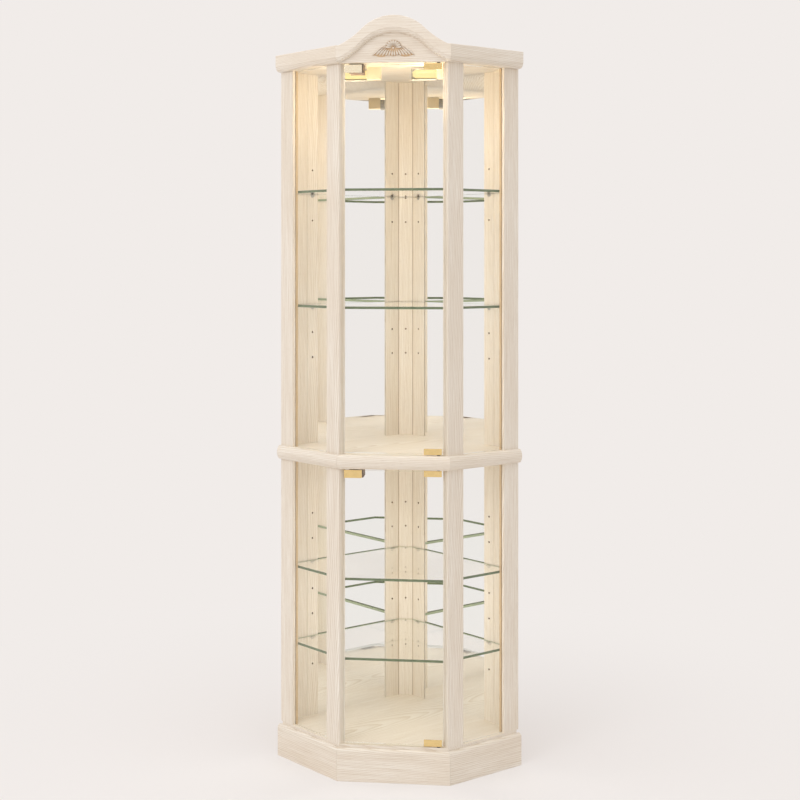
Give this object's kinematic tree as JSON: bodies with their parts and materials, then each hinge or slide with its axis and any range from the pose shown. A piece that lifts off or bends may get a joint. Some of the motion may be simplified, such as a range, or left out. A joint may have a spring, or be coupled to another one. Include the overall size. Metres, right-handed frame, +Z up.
{
  "type": "corner curio cabinet",
  "caption": "Mirror-backed corner display cabinet with glass doors, glass sides and glass shelves, for showing small things in a room corner.",
  "frame": {"origin": "on the floor, under the middle of the overall plan", "axes": "+Z up, the flat front with the doors faces -Y, the square rear corner points to +Y"},
  "size_m": [0.6082, 0.471, 1.8],
  "materials": {
    "oak_outside": "limed oak, satin",
    "oak_inside": "clear lacquered oak, satin",
    "back_board": "unfinished hardboard",
    "mirror_glass": "silvered",
    "clear_glass": "polished float glass",
    "shelf_glass": "polished float glass with green edges",
    "brass": "polished",
    "peg_metal": "bright",
    "black_plastic": "matte",
    "brown_plastic": "matte",
    "lamp_metal": "satin",
    "holder_plastic": "matte",
    "bulb_glass": "frosted, lit"
  },
  "bodies": {
    "carcass": {"back_panel_left": "back_board", "back_panel_right": "back_board", "catch_body_lower": "brown_plastic", "catch_body_upper": "brown_plastic", "corner_post": "oak_inside", "corner_stile_left": "oak_inside", "corner_stile_right": "oak_inside", "cornice_left": "oak_outside", "cornice_right": "oak_outside", "crest_carving": "oak_outside", "crest_cornice": "oak_outside", "divider_panel": "oak_inside", "floor_panel": "oak_inside", "front_post_left": "oak_outside", "front_post_right": "oak_outside", "hinge_bushes": "black_plastic", "lamp_bulb_left": "bulb_glass", "lamp_bulb_right": "bulb_glass", "lamp_holder_left": "holder_plastic", "lamp_holder_right": "holder_plastic", "lamp_reflector_left": "lamp_metal", "lamp_reflector_right": "lamp_metal", "mirror_lower_left": "mirror_glass", "mirror_lower_right": "mirror_glass", "mirror_upper_left": "mirror_glass", "mirror_upper_right": "mirror_glass", "plinth_back_left": "back_board", "plinth_back_right": "back_board", "plinth_front": "oak_outside", "plinth_left": "oak_outside", "plinth_right": "oak_outside", "rear_post_left": "oak_outside", "rear_post_right": "oak_outside", "shelf_1": "shelf_glass", "shelf_2": "shelf_glass", "shelf_3": "shelf_glass", "shelf_4": "shelf_glass", "shelf_pegs": "peg_metal", "side_glass_beads": "oak_inside", "side_glass_lower_left": "clear_glass", "side_glass_lower_right": "clear_glass", "side_glass_upper_left": "clear_glass", "side_glass_upper_right": "clear_glass", "top_panel": "oak_inside", "tympanum": "oak_outside", "waist_front": "oak_outside", "waist_left": "oak_outside", "waist_right": "oak_outside", "wall_stile_left": "oak_inside", "wall_stile_right": "oak_inside"},
    "door_upper": {"door_glass_upper": "clear_glass", "hinge_clips_upper": "brass", "strike_plate_upper": "brass"},
    "touch_upper": {"catch_plunger_upper": "brown_plastic"},
    "door_lower": {"door_glass_lower": "clear_glass", "hinge_clips_lower": "brass", "strike_plate_lower": "brass"},
    "touch_lower": {"catch_plunger_lower": "brown_plastic"}
  },
  "joints": [
    {"name": "door_upper_hinge", "type": "hinge", "parent": "carcass", "child": "door_upper", "pos_m": [0.10564, -0.2135, 1.2285], "axis": [0, 0, 1], "range_deg": [0, 100]},
    {"name": "touch_upper_press", "type": "slide", "parent": "carcass", "child": "touch_upper", "axis": [0, 1, 0], "range_m": [0, 0.003], "stiffness_N_per_m": 400},
    {"name": "door_lower_hinge", "type": "hinge", "parent": "carcass", "child": "door_lower", "pos_m": [0.10564, -0.2135, 0.409], "axis": [0, 0, 1], "range_deg": [0, 100]},
    {"name": "touch_lower_press", "type": "slide", "parent": "carcass", "child": "touch_lower", "axis": [0, 1, 0], "range_m": [0, 0.003], "stiffness_N_per_m": 400}
  ]
}
